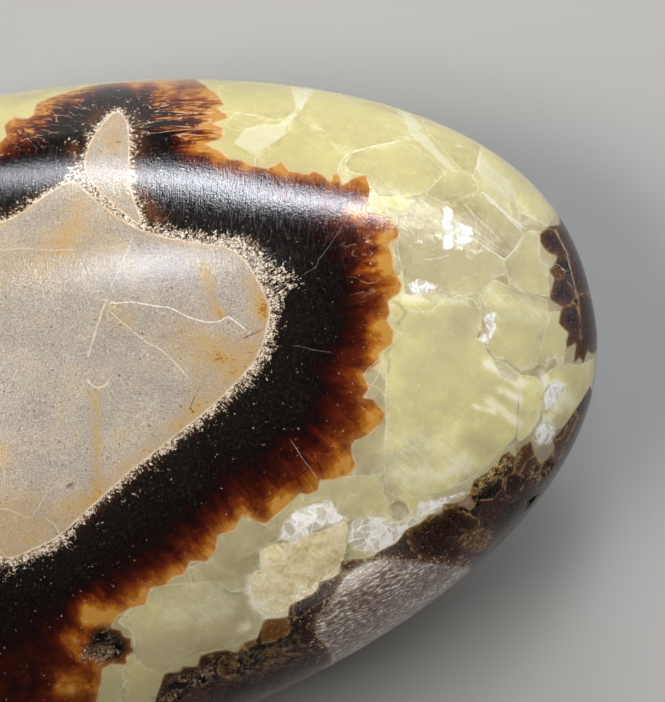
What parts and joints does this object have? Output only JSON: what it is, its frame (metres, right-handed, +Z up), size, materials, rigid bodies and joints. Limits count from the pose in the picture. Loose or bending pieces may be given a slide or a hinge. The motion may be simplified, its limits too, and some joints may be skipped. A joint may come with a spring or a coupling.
{
  "type": "septarian nodule",
  "caption": "Polished pebble of septarian stone: grey limestone, brown aragonite rims and yellow calcite, on a small flat resting spot.",
  "frame": {"origin": "middle of the bounding box at the bottom, on the plane of the flat resting spot", "axes": "+X along the stone's long axis towards its narrower end, +Y across its width, +Z up from the resting spot through the crown"},
  "size_m": [0.0878, 0.0582, 0.0402],
  "materials": {
    "polished_septarian": "gloss"
  },
  "bodies": {
    "root": {"nodule": "polished_septarian"}
  },
  "joints": []
}
